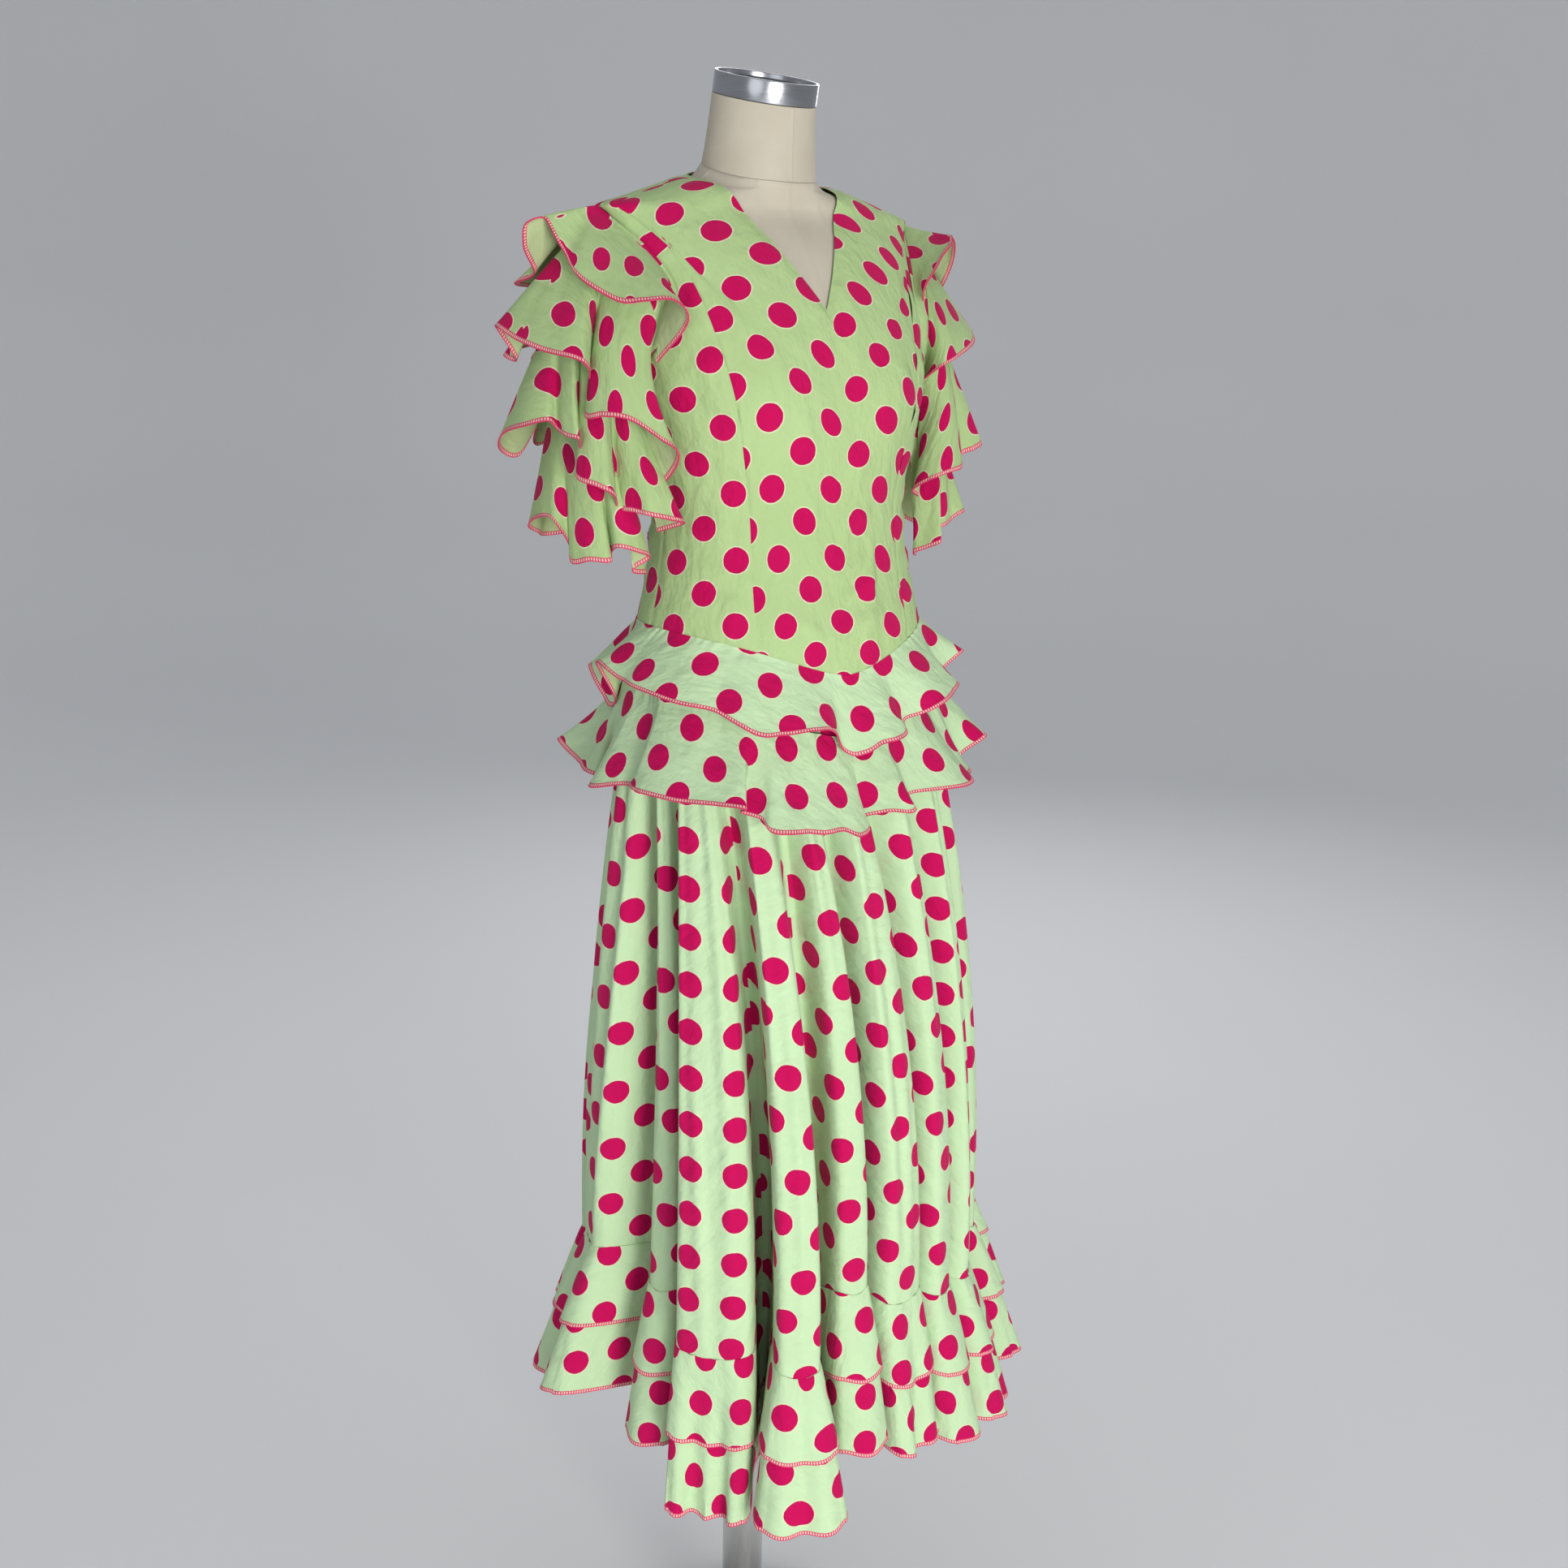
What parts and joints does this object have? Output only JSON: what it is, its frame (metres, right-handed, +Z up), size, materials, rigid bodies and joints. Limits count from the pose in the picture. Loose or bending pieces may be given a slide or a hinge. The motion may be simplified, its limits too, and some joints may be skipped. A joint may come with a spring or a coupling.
{
  "type": "flamenco dress on a limbless dress form with a stand",
  "caption": "Long flamenco dress with a fitted bodice, short flounced sleeves, double waist and hem flounces, worn by a limbless dress form on a round stand.",
  "frame": {"origin": "middle of the underside of the stand base, on the floor", "axes": "+Z up along the pole; the front of the dress faces -Y; the wearer's left is +X"},
  "size_m": [0.6318, 0.5879, 1.955],
  "materials": {
    "dress_cloth": "matte crepe with magenta polka dots",
    "form_canvas": "smooth cream linen over padding",
    "cap_chrome": "polished",
    "stand_steel": "satin",
    "stand_iron": "dark satin paint",
    "zip_paint": "enamel in the colour of the cloth"
  },
  "bodies": {
    "dress_and_form": {"bodice_front_centre": "dress_cloth", "bodice_front_side_left": "dress_cloth", "bodice_front_side_right": "dress_cloth", "bodice_back_left": "dress_cloth", "bodice_back_right": "dress_cloth", "skirt_front": "dress_cloth", "skirt_back": "dress_cloth", "hem_flounce_upper": "dress_cloth", "hem_flounce_lower": "dress_cloth", "peplum_flounce_upper": "dress_cloth", "peplum_flounce_lower": "dress_cloth", "sleeve_base_left": "dress_cloth", "sleeve_flounce_1_left": "dress_cloth", "sleeve_flounce_2_left": "dress_cloth", "sleeve_flounce_3_left": "dress_cloth", "sleeve_flounce_4_left": "dress_cloth", "sleeve_base_right": "dress_cloth", "sleeve_flounce_1_right": "dress_cloth", "sleeve_flounce_2_right": "dress_cloth", "sleeve_flounce_3_right": "dress_cloth", "sleeve_flounce_4_right": "dress_cloth", "form_torso": "form_canvas", "form_neck": "form_canvas", "neck_cap_ring": "cap_chrome", "neck_cap_plate": "cap_chrome", "stand_pole": "stand_steel", "stand_base": "stand_iron", "zip_slider": "zip_paint"},
    "zip_pull_tab": {"zip_pull": "zip_paint"}
  },
  "joints": [
    {"name": "zip_pull_swing", "type": "hinge", "parent": "dress_and_form", "child": "zip_pull_tab", "pos_m": [0, 0.08323, 1.84], "axis": [1, 0, 0], "range_deg": [0, 150]}
  ]
}
